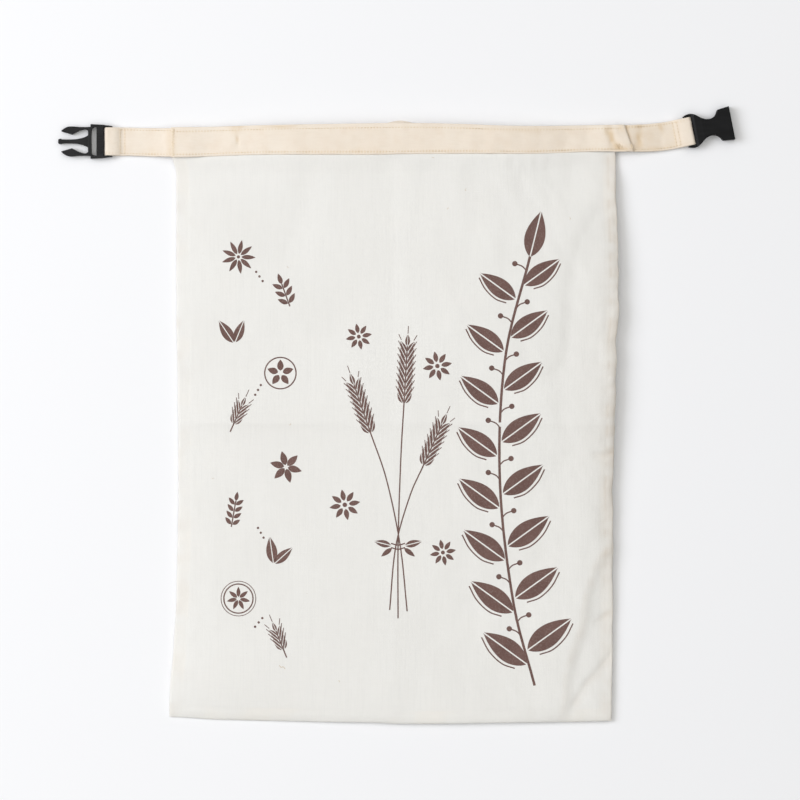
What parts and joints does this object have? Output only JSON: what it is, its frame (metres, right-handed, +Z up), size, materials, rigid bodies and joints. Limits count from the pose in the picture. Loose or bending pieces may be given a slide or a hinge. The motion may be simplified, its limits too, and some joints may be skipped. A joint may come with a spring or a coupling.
{
  "type": "roll-top bread bag",
  "caption": "Flat cotton bag with a tape band at its mouth and a strap at each side, one with the male and one with the female half of a side-release buckle.",
  "frame": {"origin": "centre of the bounding box in plan, on the surface that the bag lies on", "axes": "+X from the male to the female buckle half, +Y from the bag's bottom to its mouth, +Z up from the surface"},
  "size_m": [0.4837, 0.4413, 0.0125],
  "materials": {
    "cloth": "off-white plain-weave cotton, slightly waxy",
    "tape": "cream cotton twill tape, stitched along both edges",
    "plastic": "black moulded plastic, fine satin"
  },
  "bodies": {
    "root": {"front_panel": "cloth", "back_panel": "cloth", "front_band": "tape", "back_band": "tape", "strap_left": "tape", "strap_right": "tape", "buckle_male": "plastic", "buckle_female": "plastic"}
  },
  "joints": []
}
